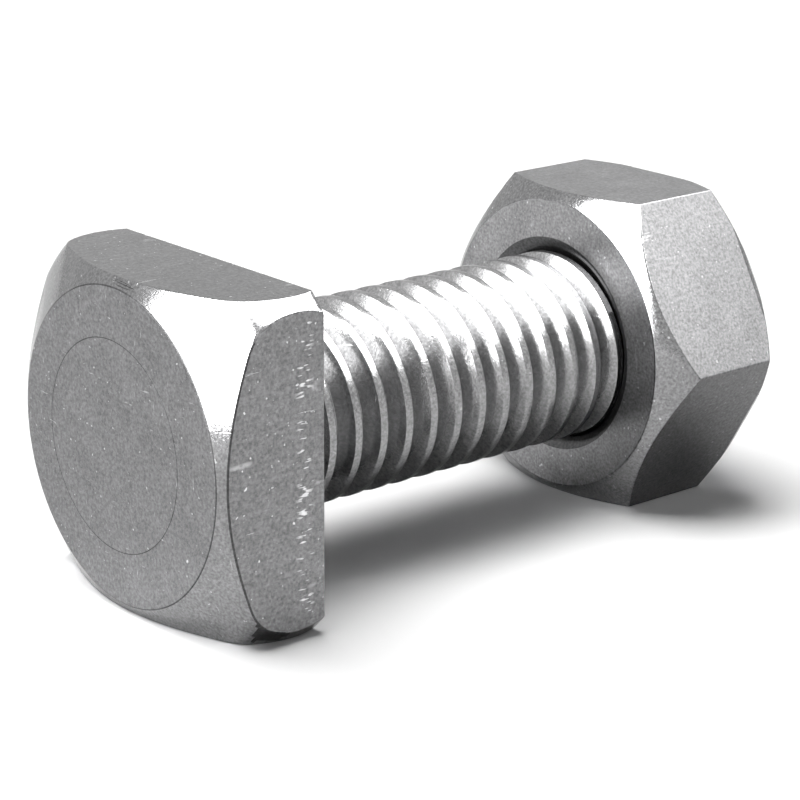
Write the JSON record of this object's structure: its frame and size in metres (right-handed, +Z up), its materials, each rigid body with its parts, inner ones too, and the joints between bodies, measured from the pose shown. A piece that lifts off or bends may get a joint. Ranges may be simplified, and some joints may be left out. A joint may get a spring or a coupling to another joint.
{
  "type": "nut and bolt",
  "caption": "Square-head bolt threaded up to its head, with a chamfered hexagon nut run on near its far end.",
  "frame": {"origin": "on the bolt's axis, in the plane of the head's bearing face", "axes": "+X along the bolt's axis from the head towards the nut; +Z up, square to the head's upper flat"},
  "size_m": [0.0296, 0.015, 0.013],
  "materials": {
    "zinc_plated_steel": "bright zinc plating over fine brushed and turned steel, lightly scratched"
  },
  "bodies": {
    "bolt": {"square_head_bolt": "zinc_plated_steel"},
    "nut": {"hex_nut": "zinc_plated_steel"}
  },
  "joints": [
    {"name": "nut_travel", "type": "slide", "parent": "bolt", "child": "nut", "axis": [1, 0, 0], "range_m": [-0.015, 0.0075]}
  ]
}
